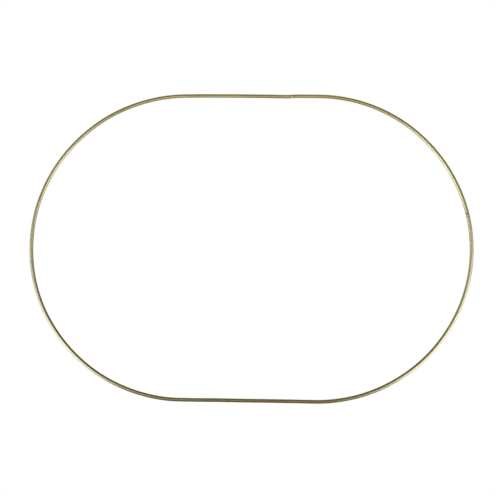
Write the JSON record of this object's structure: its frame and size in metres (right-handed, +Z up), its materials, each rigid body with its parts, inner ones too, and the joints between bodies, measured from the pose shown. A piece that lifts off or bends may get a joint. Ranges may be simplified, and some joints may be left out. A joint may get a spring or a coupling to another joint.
{
  "type": "wreath frame",
  "caption": "Flat obround hoop of round brass-coloured wire, butt-welded shut: an open frame that flowers, foliage or ribbon are tied onto to make a hanging wreath.",
  "frame": {"origin": "centre of the hoop's bounding box, in the plane of the wire's centreline", "axes": "+Z up with the hoop hanging upright from its top straight, +X to the right along the hoop's long axis as seen from the front, +Y towards the back, square to the hoop's plane"},
  "size_m": [0.36, 0.0032, 0.25],
  "materials": {
    "plated_wire": "satin brass plating on drawn steel wire, faint draw lines along the wire, slightly greenish pale gold",
    "plated_weld": "the same satin brass plating over a dressed weld, a little rougher, with file marks across the wire"
  },
  "bodies": {
    "root": {"wire_hoop": "plated_wire", "butt_weld": "plated_weld"}
  },
  "joints": []
}
